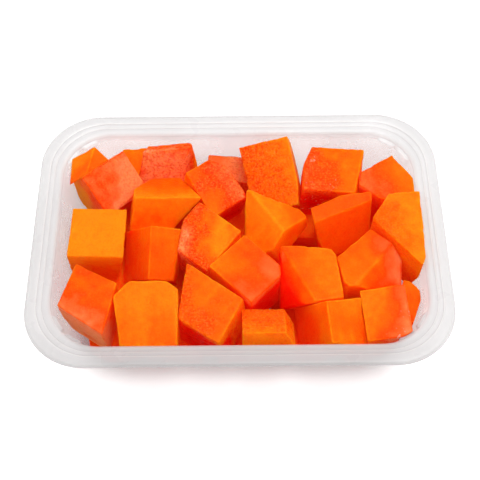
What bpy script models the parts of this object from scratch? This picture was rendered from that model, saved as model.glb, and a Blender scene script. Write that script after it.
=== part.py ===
"""Diced papaya in a clear rectangular tray.

The tray stands on the floor plane, centred on the origin: X runs along it and
-Y is its near side. Two layers of knife-cut dice fill it. Each die starts as a
block of its own size, turned and leaned as it lies, and loses the corners that
the knife took. Where dice press on the tray or on each other they are cut
flat, with a hair of clearance.
"""

import itertools
import math

import bmesh
import bpy
import numpy as np
from mathutils import Matrix, Vector

MM = 0.001

# Tray, in millimetres
TRAY_LENGTH = 172.0
TRAY_DEPTH = 121.0
TRAY_HEIGHT = 44.0
TRAY_WALL = 0.6
CORNER_RADIUS = 25.6
CORNER_SHRINK = 0.5  # radius lost for each millimetre of inset
CORNER_STEPS = 8
WALL_DRAFT = math.radians(11)
FOOT_RADIUS = 6.0
FOOT_STEPS = 4
# The rim's underside from the wall's top outwards: distance in from the tray's outer edge, and
# depth below the underside of the rim's flat top
RIM_PROFILE = (
    (9.4, 3.0),
    (8.8, 1.6),
    (6.3, 1.2),
    (5.2, 0.2),
    (1.8, 0.0),
    (0.9, 0.1),
    (0.6, 0.9),
)

# Dice
CLEARANCE = 0.3
WALL_CLEARANCE = 0.4
FLOOR_CLEARANCE = 0.3
WALL_DIRECTIONS = 32
SMALLEST_FACET = 0.3
FLAT_ANGLE = math.radians(0.5)
LEVEL_DIFFERENCE = 3.0
ROW_DIFFERENCE = 4.0

# name: place (x, y, z), size (across, deep, tall), lie (turn, lean right, lean near) in degrees,
# then knife cuts (compass angle from +X, angle up, distance from the die's centre)
DICE = {
    "far_1": ((-65, 31, 33), (30, 30, 24), (0, 0, 0), (
        (178, 67, 10.4), (-28, 78, 11), (108, 0, 10.3), (47, 0, 9.9),
        (-179, 0, 8), (-51, -34, -5.2),
    )),
    "far_2": ((-58, 31, 30.5), (22, 20, 23), (35, 24, 25), ()),
    "far_3": ((-43.5, 39.5, 27), (15, 17, 18), (5, 0, 0), ()),
    "far_4": ((-32.7, 43.1, 32.4), (40, 40, 40), (0, 0, 0), (
        (-90, 30, 9), (-31, 5, 12.1), (162, 2, 7.8), (100, 60, 9.5),
        (92, 0, 2.2), (-80, -60, 9.5), (16, 6, 13.1),
    )),
    "far_5": ((-4.5, 39, 22), (19, 14, 20), (-4, 0, 0), ()),
    "far_6": ((-13, 25.3, 31), (22, 23, 21), (34, 8, 12), ((75, 0, 10), (0, 0, 17))),
    "far_7": ((15.3, 34.2, 32), (21.5, 30, 20), (12, -8, 28), ()),
    "far_8": ((41, 32, 31), (27, 22, 22), (-3, 3, 3), ((-14, 10, 13.1), (156, 5, 13.3))),
    "far_9": ((66.5, 25.5, 31), (30, 30, 20), (0, 0, 0), (
        (122, 0, 11.2), (34, 0, 8.6), (-128, 0, 12), (170, -10, 12.2),
    )),
    "back_1": ((-59.3, 1, 30.5), (23.2, 23, 22), (-2, 0, 0), ((0, -14, 8.6),)),
    "back_2": ((-32, 20, 30), (35, 19, 20), (0, 0, -30), (
        (180, 12, 15), (141, 0, 13), (30, 0, 12), (-23, -34, 6),
    )),
    "back_3": ((-34.8, -3.8, 28.9), (19.4, 22, 26), (-3, 30, 25), ()),
    "back_4": ((-14.5, -0.5, 30), (24, 23, 22), (-38, 0, 5), ((195, 0, 15.5),)),
    "back_5": ((17, 8, 31), (30, 30, 24), (0, 0, 0), (
        (-149, 51, 10.8), (-46, 11, 8.9), (69, 0, 7.9), (27, 0, 11),
        (-30, -25, 8.5), (41, 73, 10.4), (173, 0, 15),
    )),
    "back_6": ((43, 12, 32), (30, 26, 20), (0, 0, 0), (
        (-69, 27, 5), (-80, 78, 8.5), (-172, -8, 10.7), (-145, -5, 13),
        (114, 0, 5.1), (95, 0, 6.4), (1, 0, 13.8),
    )),
    "back_7": ((68, 4, 33.9), (34, 50, 24.2), (0, 0, 0), (
        (94, 0, 12.7), (147, 0, 10.4), (-140, 0, 12.7), (-26, 0, 15.3),
        (-2, 0, 8.4),
    )),
    "front_1": ((-59, -29, 31), (40, 40, 22), (0, 0, 0), (
        (162, 0, 12.2), (-124, -4, 10.5), (-11, 0, 9.9), (62, 0, 9.3),
    )),
    "front_2": ((-36.4, -35, 31), (34, 28, 20), (0, 0, 12), (
        (133, 0, 14.2), (189, 0, 13.4), (53, 0, 13.4), (0, 0, 11.5),
    )),
    "front_3": ((-13, -33.5, 31), (40, 40, 20), (0, 0, 5), (
        (55, 0, 10.5), (-28, 0, 13.8), (-123, 0, 10.7), (172, 0, 11),
    )),
    "front_4": ((3.5, -17, 31), (24, 20.5, 22), (-45, 0, 0), ()),
    "front_5": ((29.5, -21, 31), (30, 30, 20), (0, 0, 0), (
        (82, 0, 14.3), (33, 0, 14.4), (6, 0, 11.5), (-82, -5, 9.9),
        (-153, 40, 9.4),
    )),
    "front_6": ((52.5, -15, 31), (30.5, 42, 24), (0, 0, 0), (
        (-46, 47, 9.5), (162, 80, 10.2), (130, 0, 11), (-170, 0, 11),
        (45, 0, 13.8), (-145, 0, 13),
    )),
    "near_1": ((11.5, -43, 30), (21, 13, 20), (0, 0, -20), ((10, 24, 10.3),)),
    "near_2": ((37.4, -39, 28.9), (17, 22, 25.7), (8, 27, 19), ()),
    "near_3": ((59.5, -36.5, 31), (18.5, 21.5, 21), (5, -8, 5), ((10, -35, 8.5),)),
    "near_4": ((69, -28.5, 24), (17, 19, 20), (10, 0, 0), ((75, 0, 9), (42, 0, 7.4), (-22, 0, 4.7))),
    "low_1": ((-54, -30, 11), (22, 23, 20), (12, 3, 0), ()),
    "low_2": ((-27, -32, 11), (24, 21, 20), (-8, 0, 4), ()),
    "low_3": ((0, -31, 11), (22, 23, 20), (5, -3, 0), ()),
    "low_4": ((27, -33, 11), (23, 21, 20), (-14, 0, 0), ()),
    "low_5": ((54, -31, 11), (21, 23, 20), (8, 4, 3), ()),
    "low_6": ((-58, -4, 11), (23, 22, 20), (-5, 0, -3), ()),
    "low_7": ((-31, -6, 11), (21, 23, 20), (18, 0, 0), ()),
    "low_8": ((-4, -4, 11), (23, 21, 20), (-10, 4, 0), ()),
    "low_9": ((24, -6, 11), (22, 22, 20), (6, 0, 3), ()),
    "low_10": ((53, -5, 11), (23, 23, 20), (-16, -3, 0), ()),
    "low_11": ((-54, 23, 11), (22, 21, 20), (9, 0, 0), ()),
    "low_12": ((-27, 22, 11), (23, 22, 20), (-12, 3, 3), ()),
    "low_13": ((0, 23, 11), (21, 23, 20), (4, 0, -4), ()),
    "low_14": ((27, 22, 11), (23, 22, 20), (-7, 0, 0), ()),
    "low_15": ((54, 22, 11), (22, 22, 20), (15, -4, 0), ()),
}


def rounded_rectangle(inset, height):
    """Points round the tray at one inset from its outer edge, counterclockwise, at one height."""
    radius = (CORNER_RADIUS - CORNER_SHRINK * inset) * MM
    across = (TRAY_LENGTH / 2 - inset) * MM - radius
    deep = (TRAY_DEPTH / 2 - inset) * MM - radius
    points = []
    for corner, (side_x, side_y) in enumerate(((1, 1), (-1, 1), (-1, -1), (1, -1))):
        for step in range(CORNER_STEPS + 1):
            angle = math.radians(90) * (corner + step / CORNER_STEPS)
            x = side_x * across + radius * math.cos(angle)
            y = side_y * deep + radius * math.sin(angle)
            points.append((x, y, height * MM))
    return points


def foot_centre_inset():
    """How far in from the tray's outer edge the centre of the foot curve lies."""
    top_inset, top_drop = RIM_PROFILE[0]
    foot_inset = top_inset + (TRAY_HEIGHT - top_drop) * math.tan(WALL_DRAFT)
    return foot_inset + FOOT_RADIUS * math.tan((math.radians(90) - WALL_DRAFT) / 2)


def tray_profile():
    """The tray's under surface as (inset, height) from the flat base to the rim's outer edge."""
    profile = []
    for step in range(FOOT_STEPS + 1):
        angle = (math.radians(90) - WALL_DRAFT) * step / FOOT_STEPS
        inset = foot_centre_inset() - FOOT_RADIUS * math.sin(angle)
        profile.append((inset, FOOT_RADIUS * (1 - math.cos(angle))))
    for inset, drop in RIM_PROFILE:
        profile.append((inset, TRAY_HEIGHT - TRAY_WALL - drop))
    return profile


def make_tray(collection):
    mesh = bmesh.new()
    rings = []
    for inset, height in tray_profile():
        rings.append([mesh.verts.new(point) for point in rounded_rectangle(inset, height)])
    mesh.faces.new(rings[0])
    for lower, upper in zip(rings, rings[1:]):
        for i in range(len(lower)):
            j = (i + 1) % len(lower)
            mesh.faces.new((lower[i], lower[j], upper[j], upper[i]))
    bmesh.ops.recalc_face_normals(mesh, faces=mesh.faces)
    tray = add_object("tray", mesh, collection)
    wall = tray.modifiers.new("Wall", "SOLIDIFY")
    wall.thickness = TRAY_WALL * MM
    wall.offset = 1.0
    wall.use_even_offset = True
    tray.data.materials.append(make_material("clear plastic", (0.86, 0.84, 0.84), 0.35))
    return tray


def add_object(name, mesh, collection):
    data = bpy.data.meshes.new(name)
    mesh.to_mesh(data)
    mesh.free()
    made = bpy.data.objects.new(name, data)
    collection.objects.link(made)
    return made


def make_material(name, colour, roughness):
    material = bpy.data.materials.new(name)
    material.use_nodes = True
    shader = material.node_tree.nodes["Principled BSDF"]
    shader.inputs["Base Color"].default_value = (*colour, 1.0)
    shader.inputs["Roughness"].default_value = roughness
    shader.inputs["Metallic"].default_value = 0.0
    return material


def slice_off(mesh, point, facing):
    """Take away what lies beyond the plane through the point, and close the cut."""
    everything = mesh.verts[:] + mesh.edges[:] + mesh.faces[:]
    cut = bmesh.ops.bisect_plane(
        mesh, geom=everything, plane_co=point, plane_no=facing, clear_outer=True, dist=1e-6
    )
    rim = [part for part in cut["geom_cut"] if isinstance(part, bmesh.types.BMEdge)]
    if rim:
        bmesh.ops.contextual_create(mesh, geom=rim)


def facing_vector(compass, up):
    flat = math.cos(math.radians(up))
    turn = math.radians(compass)
    return Vector((flat * math.cos(turn), flat * math.sin(turn), math.sin(math.radians(up))))


def cut_die(place, size, lie, cuts):
    """A block of this size, turned and leaned as it lies, less what the knife took off."""
    turn, lean_right, lean_near = (math.radians(angle) for angle in lie)
    centre = Vector(place) * MM
    turned = Matrix.Rotation(turn, 3, "Z")
    leaned = Matrix.Rotation(lean_near, 3, "X") @ Matrix.Rotation(lean_right, 3, "Y")
    die = bmesh.new()
    bmesh.ops.create_cube(die, size=1.0)
    bmesh.ops.scale(die, vec=Vector(size) * MM, verts=die.verts)
    bmesh.ops.rotate(die, matrix=leaned @ turned, verts=die.verts)
    bmesh.ops.translate(die, vec=centre, verts=die.verts)
    for compass, up, distance in cuts:
        facing = facing_vector(compass, up)
        slice_off(die, centre + facing * distance * MM, facing)
    return die


def wall_planes():
    """Planes just inside the tray's floor, wall and foot curve, each as (point, facing)."""
    radius = FOOT_RADIUS - TRAY_WALL - WALL_CLEARANCE
    floor = Vector((0, 0, (TRAY_WALL + FLOOR_CLEARANCE) * MM))
    planes = [(floor, Vector((0, 0, -1)))]
    for foot_step in range(FOOT_STEPS):
        tilt = WALL_DRAFT + (math.radians(90) - WALL_DRAFT) * foot_step / FOOT_STEPS
        inset = foot_centre_inset() - radius * math.cos(tilt)
        height = (FOOT_RADIUS - radius * math.sin(tilt)) * MM
        for step in range(WALL_DIRECTIONS):
            angle = math.radians(360) * step / WALL_DIRECTIONS
            across = Vector((math.cos(angle), math.sin(angle), 0))
            spread = CORNER_SHRINK + (1 - CORNER_SHRINK) * (abs(across.x) + abs(across.y))
            down = Vector((0, 0, -spread * math.sin(tilt)))
            point = across * support_reach(inset, angle) + Vector((0, 0, height))
            planes.append((point, (across * math.cos(tilt) + down).normalized()))
    return planes


def support_reach(inset, angle):
    """How far the rounded rectangle at this inset reaches in one direction from the middle."""
    radius = CORNER_RADIUS - CORNER_SHRINK * inset
    across = TRAY_LENGTH / 2 - inset - radius
    deep = TRAY_DEPTH / 2 - inset - radius
    return (across * abs(math.cos(angle)) + deep * abs(math.sin(angle)) + radius) * MM


def corners_of(die):
    return np.array([corner.co[:] for corner in die.verts])


def edge_directions(die):
    """The die's edge directions, each listed once."""
    found = []
    for edge in die.edges:
        along = (edge.verts[1].co - edge.verts[0].co).normalized()
        if all(abs(along.dot(other)) < 0.999 for other in found):
            found.append(along)
    return found


def contact_between(first, second):
    """(gap, facing, end of first, start of second) across the plane that parts two dice best."""
    facings = [face.normal.copy() for face in first.faces]
    facings += [face.normal.copy() for face in second.faces]
    for along in edge_directions(first):
        for other in edge_directions(second):
            across = along.cross(other)
            if across.length > 0.05:
                facings.append(across.normalized())
                facings.append(-across.normalized())
    facings = np.array([facing[:] for facing in facings])
    first_end = (corners_of(first) @ facings.T).max(axis=0)
    second_start = (corners_of(second) @ facings.T).min(axis=0)
    best = int(np.argmax(second_start - first_end))
    gap = second_start[best] - first_end[best]
    return gap, Vector(facings[best]), first_end[best], second_start[best]


def part_dice(first, second, first_keeps):
    """Cut two dice that meet along the plane that parts them best. A die that keeps its shape isn't cut."""
    gap, facing, first_end, second_start = contact_between(first, second)
    if gap >= CLEARANCE * MM:
        return
    middle = (first_end + second_start) / 2
    if first_keeps:
        middle = first_end + CLEARANCE * MM / 2
    for die, side in ((first, -1), (second, 1)):
        level = middle + side * CLEARANCE * MM / 2
        slice_off(die, facing * level, facing * -side)
        tidy_die(die)


def tidy_die(die):
    """Make the die the convex solid of its corners, less the slivers that the cuts left."""
    corners = [corner.co.copy() for corner in die.verts]
    die.clear()
    for corner in corners:
        die.verts.new(corner)
    bmesh.ops.remove_doubles(die, verts=die.verts, dist=SMALLEST_FACET * MM)
    bmesh.ops.convex_hull(die, input=die.verts)
    loose = [corner for corner in die.verts if not corner.link_faces]
    bmesh.ops.delete(die, geom=loose, context="VERTS")
    bmesh.ops.dissolve_limit(die, angle_limit=FLAT_ANGLE, verts=die.verts, edges=die.edges)
    bmesh.ops.recalc_face_normals(die, faces=die.faces)
    die.normal_update()


def keeps_shape(name, other):
    """A die keeps its shape where it lies well above another, or well in front of one as high."""
    place = DICE[name][0]
    other_place = DICE[other][0]
    above = place[2] - other_place[2]
    in_front = other_place[1] - place[1]
    return above > LEVEL_DIFFERENCE or (above >= -LEVEL_DIFFERENCE and in_front > ROW_DIFFERENCE)


def make_dice(collection):
    planes = wall_planes()
    dice = {}
    for name, (place, size, lie, cuts) in DICE.items():
        die = cut_die(place, size, lie, cuts)
        for point, facing in planes:
            slice_off(die, point, facing)
        tidy_die(die)
        dice[name] = die
    for first, second in itertools.permutations(dice, 2):
        if keeps_shape(first, second):
            part_dice(dice[first], dice[second], True)
    for first, second in itertools.combinations(dice, 2):
        part_dice(dice[first], dice[second], False)
    flesh = make_material("papaya flesh", (0.9, 0.2, 0.02), 0.3)
    for name, die in dice.items():
        made = add_object("papaya_" + name, die, collection)
        made.data.materials.append(flesh)


def main():
    for old in list(bpy.data.objects):
        bpy.data.objects.remove(old)
    collection = bpy.data.collections.new("Diced papaya")
    bpy.context.scene.collection.children.link(collection)
    make_tray(collection)
    make_dice(collection)


main()
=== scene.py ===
# Diced papaya in a milky clear tray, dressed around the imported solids
import math

import bpy
import numpy as np
from mathutils import Matrix


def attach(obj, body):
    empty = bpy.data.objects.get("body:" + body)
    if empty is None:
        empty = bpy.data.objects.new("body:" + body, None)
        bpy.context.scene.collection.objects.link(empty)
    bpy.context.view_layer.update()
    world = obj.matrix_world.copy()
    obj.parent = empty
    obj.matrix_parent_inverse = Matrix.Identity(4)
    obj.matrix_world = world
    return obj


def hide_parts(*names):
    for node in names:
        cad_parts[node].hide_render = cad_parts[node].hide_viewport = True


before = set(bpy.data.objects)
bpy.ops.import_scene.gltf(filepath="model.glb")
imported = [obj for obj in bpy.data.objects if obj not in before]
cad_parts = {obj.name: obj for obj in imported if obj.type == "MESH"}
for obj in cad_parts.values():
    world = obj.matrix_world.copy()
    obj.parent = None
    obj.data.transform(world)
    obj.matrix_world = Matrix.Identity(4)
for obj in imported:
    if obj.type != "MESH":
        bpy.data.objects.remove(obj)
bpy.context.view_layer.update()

mm = 0.001
squareAngle = math.radians(90)


def smoothStep(values, low, high):
    # 0 up to low and 1 from high on, with a soft S between them
    part = np.clip((values - low) / (high - low), 0, 1)
    return part * part * (3 - 2 * part)


def noiseField(points, size, seed):
    # Smooth noise from -1 to 1: random values on a lattice of this size, blended between its corners
    cells = 32
    lattice = np.random.default_rng(seed).uniform(-1, 1, (cells, cells, cells))
    cell = np.floor(points / size)
    part = points / size - cell
    part = part * part * (3 - 2 * part)
    cell = cell.astype(int)
    total = np.zeros(len(points))
    for corner in np.ndindex(2, 2, 2):
        weight = np.prod(np.where(corner, part, 1 - part), axis=1)
        at = (cell + corner) % cells
        total += weight * lattice[at[:, 0], at[:, 1], at[:, 2]]
    return total


def addPiece(name, node, slotName, points, faces, masks, material):
    # Puts the surface into a mesh with one number a point for each mask, and ties it to its node
    mesh = bpy.data.meshes.new(name)
    mesh.from_pydata(points, [], faces)
    for key, values in masks.items():
        layer = mesh.attributes.new(key, "FLOAT", "POINT")
        layer.data.foreach_set("value", values.astype(np.float32))
    mesh.shade_smooth()
    mesh.validate()
    mesh.materials.append(material)
    piece = bpy.data.objects.new(name, mesh)
    bpy.context.scene.collection.objects.link(piece)
    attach(piece, "root")
    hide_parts(node)


tray = {
    "length": 172.0, "depth": 121.0, "height": 44.0, "wall": 0.6,  # millimetres
    "cornerRadius": 25.6, "cornerShrink": 0.5,  # the radius lost for each millimetre of inset
    "draft": 11.0,  # degrees that the walls lean out
    "footRadius": 6.0,
    # the rim's underside from the wall outwards: inset from the outer edge, and drop below the flat
    "rim": (
        (9.4, 3.0), (8.8, 1.6), (6.4, 1.3), (6.0, 0.8), (4.4, 0.6),
        (4.0, 0.1), (1.8, 0.0), (0.9, 0.1), (0.6, 0.9),
    ),
    "rimCuts": 3,  # times that the corners of the rim's outline are cut, which rounds them
    "cornerSteps": 36, "footSteps": 9,
    # the wall's rows low down and near the rim: first and last share of its height, and how many
    "lowRows": (0.0, 0.78, 5), "highRows": (0.8, 1.0, 15),
    "lugs": ((22, 41), (49, 68)), "lugBlend": 1.5,  # degrees round each corner that a stacking lug fills
    "lugDepth": 1.3,  # millimetres that it stands inwards
    "lugTop": (3.0, 3.8), "lugFoot": (4.4, 8.5),  # millimetres below the rim: where it sets in, and fades
    "plainLip": (1.8, 2.6),  # millimetres of inset over which the creases start to show
    "rimBlend": 0.5,  # millimetres to each side of the wall's top over which the rim gets denser
    # the ridge colour is a painted highlight and the groove colour a painted shade, on the moulded creases
    "colour": (0.535, 0.52, 0.52), "ridgeHighlightColour": (0.80, 0.79, 0.79), "grooveShadeColour": (0.36, 0.34, 0.35),
    "creaseGain": 0.3,  # the share of its colour that a crease of one radian a millimetre gets
    "alpha": 0.37, "alphaSpread": 0.03, "alphaGrain": 22.0,  # the grain in millimetres
    "rimAlpha": 0.17, "creaseAlpha": 0.06,  # what the rim and its creases add
    "roughness": 0.3, "roughSpread": 0.05, "roughGrain": 14.0,
    "ior": 1.49, "gloss": 0.35,
}


def cutCorners(outline):
    # Each edge keeps its middle half, so that every corner gives way to a short edge; the ends stay
    near = 0.75 * outline[:-1] + 0.25 * outline[1:]
    far = 0.25 * outline[:-1] + 0.75 * outline[1:]
    return np.concatenate([outline[:1], np.stack([near, far], 1).reshape(-1, 2), outline[-1:]])


def trayProfile():
    # (inset, height) of the underside from the base out to the rim's edge: foot arc, leaning wall with
    # its rows closer together at the top, and the rim with its corners rounded
    draft = math.radians(tray["draft"])
    sweep = squareAngle - draft
    topInset, topDrop = tray["rim"][0]
    footInset = topInset + (tray["height"] - topDrop) * math.tan(draft)
    centre = footInset + tray["footRadius"] * math.tan(sweep / 2)
    angle = np.linspace(0, sweep, tray["footSteps"] + 1)
    inset = centre - tray["footRadius"] * np.sin(angle)
    foot = np.stack([inset, tray["footRadius"] * (1 - np.cos(angle))], 1)
    rim = np.array(tray["rim"])
    rim = np.stack([rim[:, 0], tray["height"] - tray["wall"] - rim[:, 1]], 1)
    rise = np.concatenate([np.linspace(*tray["lowRows"])[1:], np.linspace(*tray["highRows"])[:-1]])
    wall = foot[-1] + (rim[0] - foot[-1]) * rise[:, None]
    for _ in range(tray["rimCuts"]):
        rim = cutCorners(rim)
    return np.concatenate([foot, wall, rim])


def profileCrease(profile):
    # How sharply the profile turns, in radians a millimetre: above 0 where it bulges upwards
    step = np.diff(profile, axis=0)
    length = np.linalg.norm(step, axis=1)
    heading = np.unwrap(np.arctan2(step[:, 1], step[:, 0]))
    turn = np.diff(heading) / (0.5 * (length[1:] + length[:-1]))
    return np.concatenate([[0], turn, [0]])


def lugShape(degrees, drop):
    # 1 within a lug's angles and between its top and its foot, blended to 0 around them
    blend = tray["lugBlend"]
    around = np.zeros(len(degrees))
    for start, end in tray["lugs"]:
        around += smoothStep(degrees, start - blend, start + blend)
        around -= smoothStep(degrees, end - blend, end + blend)
    return around * (smoothStep(drop, *tray["lugTop"]) - smoothStep(drop, *tray["lugFoot"]))


def carryRound(profile):
    # Carries each profile point round a rounded rectangle whose corner radius shrinks with its inset,
    # pushed inwards where a stacking lug stands on the wall
    steps = tray["cornerSteps"]
    angle = squareAngle * np.arange(steps + 1) / steps
    inset, height = profile[:, :1], profile[:, 1:]
    radius = tray["cornerRadius"] - tray["cornerShrink"] * inset
    across = tray["length"] / 2 - inset - radius
    deep = tray["depth"] / 2 - inset - radius
    reach = radius - tray["lugDepth"] * lugShape(np.degrees(angle), tray["height"] - height)
    rows = []
    for corner, (sideX, sideY) in enumerate(((1, 1), (-1, 1), (-1, -1), (1, -1))):
        turn = angle + squareAngle * corner
        x = sideX * across + reach * np.cos(turn)
        y = sideY * deep + reach * np.sin(turn)
        rows.append(np.stack([x, y, np.broadcast_to(height, x.shape)], -1))
    return np.concatenate(rows, axis=1)


def makeTray(material):
    # The profile and its copy one wall inwards, each carried round, joined at the rim's edge and
    # closed by the two faces of the flat base
    under = trayProfile()
    along = np.gradient(under, axis=0)
    along /= np.linalg.norm(along, axis=1)[:, None]
    over = under + np.stack([along[:, 1], -along[:, 0]], 1) * tray["wall"]
    sheets = [carryRound(under), carryRound(over)]
    rows, around = sheets[0].shape[:2]
    points = np.concatenate([sheet.reshape(-1, 3) for sheet in sheets]) * mm
    index = np.arange(rows * around).reshape(rows, around)
    turned = np.roll(index, -1, axis=1)
    band = np.stack([index[:-1], turned[:-1], turned[1:], index[1:]], -1).reshape(-1, 4)
    lip = np.stack([index[-1], turned[-1], turned[-1] + index.size, index[-1] + index.size], -1)
    faces = np.concatenate([band, band[:, ::-1] + index.size, lip]).tolist()
    faces.append(index[0][::-1].tolist())
    faces.append((index[0] + index.size).tolist())
    inset = under[:, 0]
    crease = profileCrease(under) * smoothStep(inset, *tray["plainLip"])
    wallTop = tray["rim"][0][0]
    rim = 1 - smoothStep(inset, wallTop - tray["rimBlend"], wallTop + tray["rimBlend"])
    masks = {"crease": np.tile(np.repeat(crease, around), 2), "rim": np.tile(np.repeat(rim, around), 2)}
    addPiece("tray_shell", "tray", "tray_plastic", points, faces, masks, material)


flesh = {
    "gridSteps": 48, "lowGridSteps": 20,
    "gridAngle": 70.0,  # degrees; larger draws the grid's lines closer to the edges
    "sameSide": 0.9995,  # the cosine above which triangles lie on one flat side
    "squareSide": 0.35,  # the cosine below which a side is well across the largest one
    "sharpness": (28.0, 90.0),  # the power that rounds the knife edges, where softest and where sharpest
    "edgeBand": 0.09,  # how much further off the next side is, as a share, where an edge's finish ends
    "growth": 0.30, "unevenness": 0.40, "knifeMarks": 0.09, "pitDepth": 0.34, "chips": 0.45,  # millimetres
    # the layers of each noise: grain in millimetres, number added to the die's seed, and strength
    "noise": {
        "sharpness": ((6.0, 5, 0.5),),
        "patches": ((8.0, 0, 1.0), (3.5, 6, 0.5)),
        "fibres": ((1.7, 11, 1.0),),
        "unevenness": ((9.0, 1, 0.35), (3.6, 7, 0.15)),
        "knifeMarks": ((1.4, 2, 0.5),),
        "pits": ((1.5, 3, 1.0), (0.9, 4, 0.5)),
        "chips": ((2.4, 10, 1.0),),
        "damp": ((6.0, 8, 1.0),),
    },
    "seedStep": 100,  # between one die's seeds and the next one's
    "fibreStretch": (1.0, 0.12, 1.0), "markStretch": (1.0, 0.22, 1.0),  # along the die's own axes
    # where on its noise each starts, and where it is full
    "pitNoise": (0.15, 0.75), "chipNoise": (0.15, 0.8), "dampNoise": (-0.2, 0.5),
    # and the same from the skin side, at 0, to the seed side, at 1
    "pitSide": (0.15, 0.5), "dotSide": (0.1, 0.5), "dampSide": (0.4, 0.75), "paintedShadeSide": (0.3, 0.7),
    "paintedShadeDepth": (1.0, 9.0),  # millimetres below a die's top where the painted shade starts to redden it, and where it is reddest
    "paintedShadeSlope": (-0.85, -0.25),  # the same by how far a side faces down, from -1 on top to 0 upright
    "skinDots": 0.2,  # the dots at the skin side
    "evenlyPitted": 0.1,  # how pitted a die is whose seed side has as many of them
    # edgeHighlight is a painted highlight: it turns the knife edges lighter and more golden
    "edgeHighlight": 0.18, "toneNoise": 0.34, "fibreTone": 0.05,
    # the colours from the skin side to the seed side
    "ramp": (
        (0.00, (0.98, 0.235, 0.004)),
        (0.28, (0.98, 0.130, 0.001)),
        (0.58, (0.97, 0.066, 0.001)),
        (0.80, (0.97, 0.135, 0.026)),
        (1.00, (0.96, 0.225, 0.075)),
    ),
    # the pit colour darkens the flesh's own dots, and its pits as painted shade
    "pitAndShadeColour": (0.80, 0.45, 0.40), "speckAndGlintColour": (1.0, 0.32, 0.05), "wetSheenColour": (1.0, 0.60, 0.42),
    # the colour of the painted shade on the lower, down-facing sides
    "paintedShadeColour": (0.98, 0.10, 0.12),
    "speckShare": 0.42, "wetSheenShare": 0.7,  # how far the speck colour and the painted wet sheen cover
    # the fine grain of each finish: grain in millimetres, lowest and highest value
    "mottle": (3.6, -0.05, 0.05), "dots": (1.0, -0.8, 1.3), "specks": (0.8, -0.8, 0.9),
    "drops": (1.5, -3.4, 1.5), "bumps": (0.7, 0.0, 0.5),
    "bumpStrength": 0.8, "bumpHeight": 0.3,  # the height in millimetres
    "roughness": 0.42, "roughSpread": 0.08, "roughGrain": 2.4,
    "gloss": 0.02, "wetGloss": 0.25, "wetRoughness": 0.22,
    "subsurface": 0.85, "scatter": (1.0, 0.04, 0.015), "scatterDepth": 11.0,  # the depth in millimetres
    "glowColour": (1.0, 0.05, 0.008), "glow": 0.09,  # a painted glow where dice meet, standing in for the light carried through the flesh and bounced between them
    "glowReach": (0.5, 5.0),  # millimetres from the next die where it is full, and where it ends
    "lowGlow": 0.7,  # the least share of it on the lower layer
    "neighbours": 45.0,  # the most millimetres between the middles of two dice that may meet
}
# Each die: tone at its skin side and at its seed side (0 golden, 1 coral), the compass angle and the
# angle up of its skin side, how pitted it is, how wet, and how far painted shade reddens its lower seed
# side
dieLooks = {
    "far_1": (0.12, 0.50, 110, 30, 0.1, 0.0, 0.1),
    "far_2": (-0.15, 1.22, 170, -10, 0.4, 0.0, 0.1),
    "far_3": (0.20, 0.40, 120, 30, 0.0, 0.0, 0.4),
    "far_4": (-0.10, 1.24, 90, -10, 0.9, 0.1, 0.2),
    "far_5": (0.75, 1.08, 200, 0, 0.5, 0.0, 0.3),
    "far_6": (0.22, 0.98, 200, 0, 0.8, 0.0, 1.0),
    "far_7": (0.10, 0.36, 0, 10, 0.9, 0.0, 0.5),
    "far_8": (0.25, 0.75, 15, 20, 0.6, 0.6, 1.0),
    "far_9": (0.22, 0.70, 20, 0, 0.2, 0.1, 0.8),
    "back_1": (-0.05, 0.16, 90, 60, 0.1, 0.0, 0.2),
    "back_2": (0.12, 0.50, -90, 20, 0.1, 0.0, 0.4),
    "back_3": (0.30, 0.62, 30, 30, 0.1, 0.0, 0.2),
    "back_4": (0.05, 1.02, 0, 0, 0.9, 0.0, 0.3),
    "back_5": (0.12, 0.45, 170, 45, 0.0, 0.0, 0.4),
    "back_6": (0.42, 0.50, 150, 50, 0.1, 0.0, 0.0),
    "back_7": (0.08, 0.38, 10, 10, 0.4, 0.0, 0.0),
    "front_1": (0.36, 1.15, 60, 35, 0.2, 0.0, 0.0),
    "front_2": (0.10, 0.35, 120, 50, 0.1, 0.0, 0.2),
    "front_3": (0.24, 0.56, 30, 40, 0.7, 0.0, 1.6),
    "front_4": (0.24, 0.76, 150, 0, 0.1, 0.0, 2.2),
    "front_5": (0.20, 0.70, 10, 35, 0.1, 0.0, 5.0),
    "front_6": (0.25, 1.00, -170, 20, 0.1, 0.0, 0.2),
    "near_1": (0.14, 0.40, -90, 0, 0.7, 0.0, 0.1),
    "near_2": (0.20, 0.60, 0, 40, 0.1, 0.0, 0.4),
    "near_3": (0.16, 0.90, 178, 15, 0.1, 0.5, 0.2),
    "near_4": (0.22, 0.46, 90, 0, 0.0, 0.0, 0.3),
}
lowLook = (0.50, 0.60, 60, 20, 0.1, 0.0, 1.3)


def facingVector(compass, up):
    # The direction at this compass angle and this angle up, both in degrees
    compass = math.radians(compass)
    up = math.radians(up)
    return np.array([math.cos(up) * math.cos(compass), math.cos(up) * math.sin(compass), math.sin(up)])


def boxGrid(steps):
    # A grid of steps x steps cells on each side of the box from -1 to 1, each line at the sine of its
    # even place, so that they draw together at the edges, with the points shared where sides meet
    widest = math.radians(flesh["gridAngle"])
    line = np.sin(np.linspace(-widest, widest, steps + 1)) / math.sin(widest)
    across, along = np.meshgrid(line, line, indexing="ij")
    index = np.arange((steps + 1) ** 2).reshape(steps + 1, steps + 1)
    cells = np.stack([index[:-1, :-1], index[1:, :-1], index[1:, 1:], index[:-1, 1:]], -1).reshape(-1, 4)
    points = []
    faces = []
    for axis in range(3):
        for side in (-1, 1):
            sheet = np.empty((index.size, 3))
            sheet[:, axis] = side
            sheet[:, (axis + 1) % 3] = across.ravel()
            sheet[:, (axis + 2) % 3] = along.ravel()
            faces.append((cells if side > 0 else cells[:, ::-1]) + len(points) * index.size)
            points.append(sheet)
    points, places = np.unique(np.round(np.concatenate(points), 6), axis=0, return_inverse=True)
    return points, places.ravel()[np.concatenate(faces)]


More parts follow.
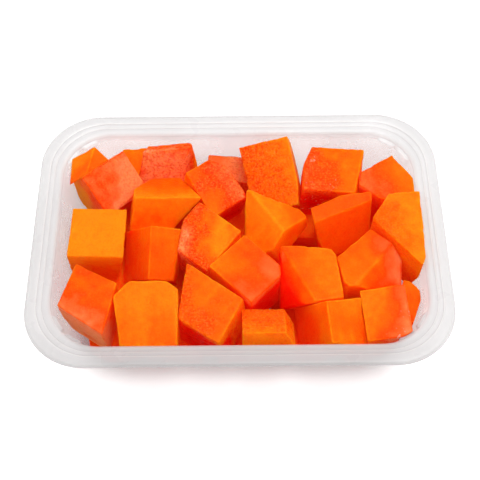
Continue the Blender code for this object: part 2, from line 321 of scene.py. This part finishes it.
def readSolid(name):
    # The solid's middle, its flat sides as normals and distances from there, and its faces' centres
    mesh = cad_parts[name].data
    count = len(mesh.polygons)
    normals = np.empty(count * 3)
    centres = np.empty(count * 3)
    areas = np.empty(count)
    mesh.polygons.foreach_get("normal", normals)
    mesh.polygons.foreach_get("center", centres)
    mesh.polygons.foreach_get("area", areas)
    normals = normals.reshape(-1, 3)
    centres = centres.reshape(-1, 3)
    middle = (centres * areas[:, None]).sum(0) / areas.sum()
    kept = []
    for i in np.argsort(-areas):
        if all(normals[i] @ normals[k] < flesh["sameSide"] for k in kept):
            kept.append(i)
    reach = np.einsum("ij,ij->i", normals[kept], centres[kept] - middle)
    return middle, normals[kept], reach, centres


def ownAxes(normals):
    # Three square axes: the largest side's normal, the next one well across it, and their cross
    first = normals[0]
    across = next(normal for normal in normals if abs(normal @ first) < flesh["squareSide"])
    second = across - first * (across @ first)
    second /= np.linalg.norm(second)
    return np.array([first, second, np.cross(first, second)])


def dieNoise(key, place, seed):
    # The sum of the layers of this noise
    layers = flesh["noise"][key]
    return sum(strength * noiseField(place, grain, seed + number) for grain, number, strength in layers)


def nextToOthers(name, solids, points):
    # 1 where the point all but touches another die's flat sides, falling to 0 at the glow's reach
    gap = np.full(len(points), np.inf)
    for other, (middle, normals, reach, _) in solids.items():
        if other != name and np.linalg.norm(middle - solids[name][0]) < flesh["neighbours"] * mm:
            gap = np.minimum(gap, ((points - middle) @ normals.T - reach).max(axis=1))
    return 1 - smoothStep(gap / mm, *flesh["glowReach"])


def roundedForm(solid, steps, seed):
    # Along each direction of a box grid, a flat side's closeness is one over its distance. The surface's
    # own is the root of the sum of their powers, so that edges are rounded, unevenly as the power varies
    middle, normals, reach, centres = solid
    axes = ownAxes(normals)
    grid, faces = boxGrid(steps)
    direction = (grid * np.abs((centres - middle) @ axes.T).max(axis=0)) @ axes
    direction /= np.linalg.norm(direction, axis=1)[:, None]
    # a side that faces away is as good as endlessly far
    closeness = np.clip(direction @ normals.T, 1e-9, None) / (reach + flesh["growth"] * mm)
    flat = middle + direction / closeness.max(axis=1)[:, None]
    softest, sharpest = flesh["sharpness"]
    power = softest + (sharpest - softest) * (0.5 + dieNoise("sharpness", flat / mm, seed))
    distance = (closeness ** power[:, None]).sum(axis=1) ** (-1 / power)
    return middle + direction * distance[:, None], faces, direction, closeness


def dieSurface(name, solids, steps, seed, look, leastGlow):
    # The rounded form, which then sinks by its relief, with a mask for each finish of the flesh
    toneSkin, toneSeed, compass, up, pitted, wet, paintedShadeAmount = look
    middle, normals = solids[name][:2]
    points, faces, direction, closeness = roundedForm(solids[name], steps, seed)
    place = points / mm
    ownPlace = place @ ownAxes(normals).T

    # from the skin side to the seed side, with a painted highlight that turns the edges lighter
    along = (points - middle) @ facingVector(compass, up)
    depth = smoothStep(-along, -np.abs(along).max(), np.abs(along).max())
    depth = np.clip(depth + flesh["toneNoise"] * dieNoise("patches", place, seed), 0, 1)
    ranked = np.sort(closeness, axis=1)
    edge = 1 - smoothStep(1 - ranked[:, -2] / ranked[:, -1], 0.0, flesh["edgeBand"])
    fibres = dieNoise("fibres", ownPlace * flesh["fibreStretch"], seed)
    tone = toneSkin + (toneSeed - toneSkin) * depth - flesh["edgeHighlight"] * edge + flesh["fibreTone"] * fibres

    # painted shade: deep red on the sides that face down, below the top, towards the seed side
    share = (closeness / closeness.max(axis=1)[:, None]) ** flesh["sharpness"][0]
    upwards = (share @ normals[:, 2]) / share.sum(axis=1)
    juice = smoothStep(place[:, 2].max() - place[:, 2], *flesh["paintedShadeDepth"])
    juice *= smoothStep(-upwards, *flesh["paintedShadeSlope"]) * smoothStep(depth, *flesh["paintedShadeSide"]) * paintedShadeAmount

    # relief
    uneven = 0.5 + dieNoise("unevenness", place, seed)
    marks = 0.5 + dieNoise("knifeMarks", ownPlace * flesh["markStretch"], seed)
    pits = smoothStep(dieNoise("pits", place, seed), *flesh["pitNoise"])
    pits *= pitted * smoothStep(depth, *flesh["pitSide"])
    chips = edge * smoothStep(dieNoise("chips", place, seed), *flesh["chipNoise"])
    relief = flesh["unevenness"] * uneven + flesh["knifeMarks"] * marks + flesh["pitDepth"] * pits
    relief += flesh["chips"] * chips
    points -= direction * (relief * mm)[:, None]

    damp = smoothStep(dieNoise("damp", place, seed), *flesh["dampNoise"])
    damp *= smoothStep(depth, *flesh["dampSide"]) * wet
    fine = flesh["skinDots"] + (pitted - flesh["evenlyPitted"]) * smoothStep(depth, *flesh["dotSide"])
    near = np.maximum(nextToOthers(name, solids, points), leastGlow)
    masks = {"tone": tone, "pits": pits, "fine": fine, "wet": damp, "juice": juice, "near": near}
    return points, faces, masks


def makeDice(material):
    # A fine surface for each die in sight, and a coarse one for each of the lower layer
    solids = {name: readSolid(name) for name in sorted(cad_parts) if name.startswith("papaya_")}
    for order, node in enumerate(solids):
        key = node.removeprefix("papaya_")
        seed = flesh["seedStep"] * order
        if key in dieLooks:
            surface = dieSurface(node, solids, flesh["gridSteps"], seed, dieLooks[key], 0.0)
        else:
            surface = dieSurface(node, solids, flesh["lowGridSteps"], seed, lowLook, flesh["lowGlow"])
        addPiece(key + "_flesh", node, "papaya_flesh", *surface, material)


def newMaterial(name):
    material = bpy.data.materials.new(name)
    material.use_nodes = True
    return material, material.node_tree, material.node_tree.nodes["Principled BSDF"]


def opaque(colour):
    return (*colour, 1)


def fillSockets(tree, node, values):
    # Each value goes to its socket by name or by number, as a link where it is another node's socket
    for key, value in values.items():
        if isinstance(value, bpy.types.NodeSocket):
            tree.links.new(value, node.inputs[key])
        else:
            node.inputs[key].default_value = value


def addNode(tree, kind, settings, values):
    made = tree.nodes.new(kind)
    for key, value in settings.items():
        setattr(made, key, value)
    fillSockets(tree, made, values)
    return made


def makeVariationGroup():
    # Noise of one grain size in millimetres, spread out from Low to High
    group = bpy.data.node_groups.new("uneven grain", "ShaderNodeTree")
    for name, value in (("Grain", 1.0), ("Low", 0.0), ("High", 1.0)):
        socket = group.interface.new_socket(name, in_out="INPUT", socket_type="NodeSocketFloat")
        socket.default_value = value
    group.interface.new_socket("Value", in_out="OUTPUT", socket_type="NodeSocketFloat")
    given = group.nodes.new("NodeGroupInput").outputs
    result = group.nodes.new("NodeGroupOutput")
    place = group.nodes.new("ShaderNodeTexCoord").outputs["Object"]
    scale = addMath(group, "DIVIDE", 1 / mm, given["Grain"])
    noise = addNode(group, "ShaderNodeTexNoise", {}, {"Vector": place, "Scale": scale, "Detail": 3.0})
    spread = addNode(group, "ShaderNodeMapRange", {}, {
        "Value": noise.outputs["Fac"], "From Min": 0.3, "From Max": 0.7,  # where nearly all of it lies
        "To Min": given["Low"], "To Max": given["High"],
    })
    group.links.new(spread.outputs[0], result.inputs["Value"])
    return group


def addVariation(tree, group, grain, low, high):
    values = {"Grain": grain, "Low": low, "High": high}
    return addNode(tree, "ShaderNodeGroup", {"node_tree": group}, values).outputs["Value"]


def addMix(tree, blend, share, first, second):
    # Mixes two colours; a plain one is given as three numbers
    settings = {"data_type": "RGBA", "blend_type": blend}
    first, second = (opaque(colour) if isinstance(colour, tuple) else colour for colour in (first, second))
    return addNode(tree, "ShaderNodeMix", settings, {0: share, 6: first, 7: second}).outputs[2]


def addMath(tree, operation, first, second, clamped=False):
    settings = {"operation": operation, "use_clamp": clamped}
    return addNode(tree, "ShaderNodeMath", settings, {0: first, 1: second}).outputs[0]


def readMask(tree, name):
    return addNode(tree, "ShaderNodeAttribute", {"attribute_name": name}, {}).outputs["Fac"]


def toneColour(tree, tone):
    # The colour at this place on the way from the skin side to the seed side
    ramp = addNode(tree, "ShaderNodeValToRGB", {}, {"Fac": tone})
    stops = ramp.color_ramp.elements
    first, *between, last = flesh["ramp"]
    for stop, (position, colour) in zip(stops, (first, last)):
        stop.position = position
        stop.color = opaque(colour)
    for position, colour in between:
        stops.new(position).color = opaque(colour)
    return ramp.outputs["Color"]


def fleshMaterial(variation):
    # Golden to coral along the tone; darker and redder in the dots and pits, partly as painted shade; deep
    # red painted shade on the lower sides; lighter specks with a painted glint; pale as a painted sheen,
    # and glossy, where wet; a painted glow where dice meet
    material, tree, shader = newMaterial("cut papaya")
    material.cycles.emission_sampling = "NONE"  # its faint glow needs no light samples
    mottle = addVariation(tree, variation, *flesh["mottle"])
    colour = toneColour(tree, addMath(tree, "ADD", readMask(tree, "tone"), mottle, clamped=True))

    # darker and redder in the dots, the flesh's own grain, and in the pits as painted shade
    dots = addMath(tree, "MULTIPLY", readMask(tree, "fine"), addVariation(tree, variation, *flesh["dots"]))
    pitted = addMath(tree, "MAXIMUM", dots, readMask(tree, "pits"))
    pitted = addMath(tree, "MAXIMUM", pitted, 0.0, clamped=True)
    colour = addMix(tree, "MULTIPLY", pitted, colour, flesh["pitAndShadeColour"])

    # lighter specks: partly the flesh's own grain, partly a painted glint
    specks = addVariation(tree, variation, *flesh["specks"])
    specks = addMath(tree, "MAXIMUM", addMath(tree, "MULTIPLY", readMask(tree, "fine"), specks), 0.0)
    specks = addMath(tree, "MULTIPLY", specks, flesh["speckShare"], clamped=True)
    colour = addMix(tree, "MIX", specks, colour, flesh["speckAndGlintColour"])

    # painted shade: deep red on the lower, down-facing sides
    juice = addMath(tree, "MINIMUM", readMask(tree, "juice"), 1.0)
    colour = addMix(tree, "MULTIPLY", juice, colour, flesh["paintedShadeColour"])

    # pale where wet: a painted sheen, beside the real coat gloss
    drops = addMath(tree, "MAXIMUM", addVariation(tree, variation, *flesh["drops"]), 0.0)
    wet = addMath(tree, "MULTIPLY", readMask(tree, "wet"), drops, clamped=True)
    paintedSheen = addMath(tree, "MULTIPLY", wet, flesh["wetSheenShare"])
    colour = addMix(tree, "MIX", paintedSheen, colour, flesh["wetSheenColour"])

    low = flesh["roughness"] - flesh["roughSpread"]
    high = flesh["roughness"] + flesh["roughSpread"]
    glossy = addMath(tree, "ADD", wet, addMath(tree, "MULTIPLY", specks, flesh["wetGloss"]), clamped=True)
    height = addMath(tree, "SUBTRACT", addVariation(tree, variation, *flesh["bumps"]), pitted)
    bump = addNode(tree, "ShaderNodeBump", {}, {
        "Height": height, "Strength": flesh["bumpStrength"], "Distance": flesh["bumpHeight"] * mm,
    })
    fillSockets(tree, shader, {
        "Base Color": colour,
        "Roughness": addVariation(tree, variation, flesh["roughGrain"], low, high),
        "Specular IOR Level": flesh["gloss"],
        "Coat Weight": glossy,
        "Coat Roughness": flesh["wetRoughness"],
        "Normal": bump.outputs["Normal"],
        "Subsurface Weight": flesh["subsurface"],
        "Subsurface Radius": flesh["scatter"],
        "Subsurface Scale": flesh["scatterDepth"] * mm,
        # painted glow: a faint red emission where dice meet, standing in for light bounced between them
        "Emission Color": opaque(flesh["glowColour"]),
        "Emission Strength": addMath(tree, "MULTIPLY", readMask(tree, "near"), flesh["glow"]),
    })
    return material


def plasticMaterial(variation):
    # Thin milky plastic: see-through; whiter on its ridges as a painted highlight, and denser there, greyer
    # in its grooves as a painted shade
    material, tree, shader = newMaterial("milky plastic")
    crease = readMask(tree, "crease")
    # painted highlight on the ridges and painted shade in the grooves, by how sharply the profile bends
    ridgeHighlight = addMath(tree, "MULTIPLY", crease, tray["creaseGain"], clamped=True)
    grooveShade = addMath(tree, "MULTIPLY", crease, -tray["creaseGain"], clamped=True)
    colour = addMix(tree, "MIX", ridgeHighlight, tray["colour"], tray["ridgeHighlightColour"])
    colour = addMix(tree, "MIX", grooveShade, colour, tray["grooveShadeColour"])

    low = tray["alpha"] - tray["alphaSpread"]
    high = tray["alpha"] + tray["alphaSpread"]
    haze = addVariation(tree, variation, tray["alphaGrain"], low, high)
    haze = addMath(tree, "ADD", haze, addMath(tree, "MULTIPLY", readMask(tree, "rim"), tray["rimAlpha"]))
    folded = addMath(tree, "MULTIPLY", addMath(tree, "MAXIMUM", ridgeHighlight, grooveShade), tray["creaseAlpha"])

    low = tray["roughness"] - tray["roughSpread"]
    high = tray["roughness"] + tray["roughSpread"]
    fillSockets(tree, shader, {
        "Base Color": colour,
        "Roughness": addVariation(tree, variation, tray["roughGrain"], low, high),
        "Alpha": addMath(tree, "ADD", haze, folded, clamped=True),
        "IOR": tray["ior"],
        "Specular IOR Level": tray["gloss"],
    })
    return material


table = {
    "colour": (0.93, 0.93, 0.93), "roughness": 0.9, "gloss": 0.1,
    "half": 60.0,  # metres from its middle to its edge
    "drop": 0.2,  # millimetres that it lies clear of the tray's base
    "glow": 0.42, "contactGlow": 0.15,  # light added for the camera in the open, and at the tray's base
    "contactReach": 9.0,  # millimetres that the painted contact shadow at the base reaches
    "contactRange": (0.5, 0.95),  # how open the table is where that shadow is darkest, and where it ends
}


def makeFloor():
    # A white table, a little brighter to the camera, and less so close to the tray, where the dimmer glow
    # is a painted contact shadow
    half = table["half"]
    mesh = bpy.data.meshes.new("floor")
    corners = [(-half, -half, 0), (half, -half, 0), (half, half, 0), (-half, half, 0)]
    mesh.from_pydata(corners, [], [(0, 1, 2, 3)])
    floor = bpy.data.objects.new("floor", mesh)
    floor.location.z = -table["drop"] * mm
    bpy.context.scene.collection.objects.link(floor)
    material, tree, shader = newMaterial("white table")
    openness = addNode(tree, "ShaderNodeAmbientOcclusion", {}, {"Distance": table["contactReach"] * mm})
    darkest, clear = table["contactRange"]
    glow = addNode(tree, "ShaderNodeMapRange", {}, {
        "Value": openness.outputs["AO"], "From Min": darkest, "From Max": clear,
        "To Min": table["contactGlow"], "To Max": table["glow"],
    })
    seen = tree.nodes.new("ShaderNodeLightPath").outputs["Is Camera Ray"]
    fillSockets(tree, shader, {
        "Base Color": opaque(table["colour"]),
        "Roughness": table["roughness"],
        "Specular IOR Level": table["gloss"],
        "Emission Color": (1, 1, 1, 1),
        "Emission Strength": addMath(tree, "MULTIPLY", glow.outputs[0], seen),
    })
    mesh.materials.append(material)


light = {
    "around": 0.86,  # the strength of the white light from all sides
    "keyPlace": (0.18, 0.04, 1.05), "keySize": 0.5,  # metres
    "keyPower": 6.6,  # watts
}


def makeLight():
    world = bpy.data.worlds.new("studio")
    world.use_nodes = True
    background = world.node_tree.nodes["Background"]
    fillSockets(world.node_tree, background, {"Color": (1, 1, 1, 1), "Strength": light["around"]})
    bpy.context.scene.world = world
    key = bpy.data.objects.new("key", bpy.data.lights.new("key", "AREA"))
    key.data.size = light["keySize"]
    key.data.energy = light["keyPower"]
    key.location = light["keyPlace"]
    key.rotation_euler = (-key.location).to_track_quat("-Z", "Y").to_euler()
    bpy.context.scene.collection.objects.link(key)


view = {
    "place": (0.34, -199.0, 377.7), "nearest": 10.0,  # millimetres
    "down": 59.8, "roll": -0.55,  # degrees
    "lens": 70.0, "sensor": 36.0,
}


def makeCamera():
    camera = bpy.data.objects.new("camera", bpy.data.cameras.new("camera"))
    camera.data.lens = view["lens"]
    camera.data.sensor_width = view["sensor"]
    camera.data.clip_start = view["nearest"] * mm
    camera.location = [value * mm for value in view["place"]]
    tilted = Matrix.Rotation(squareAngle - math.radians(view["down"]), 3, "X")
    rolled = Matrix.Rotation(math.radians(view["roll"]), 3, "Z")
    camera.rotation_euler = (tilted @ rolled).to_euler()
    bpy.context.scene.collection.objects.link(camera)
    bpy.context.scene.camera = camera
    bpy.context.scene.view_settings.view_transform = "Standard"


makeCamera()
makeFloor()
makeLight()
print("camera, floor and lights stand")
variationGroup = makeVariationGroup()
makeDice(fleshMaterial(variationGroup))
print("dice are cut")
makeTray(plasticMaterial(variationGroup))
print("tray is moulded")
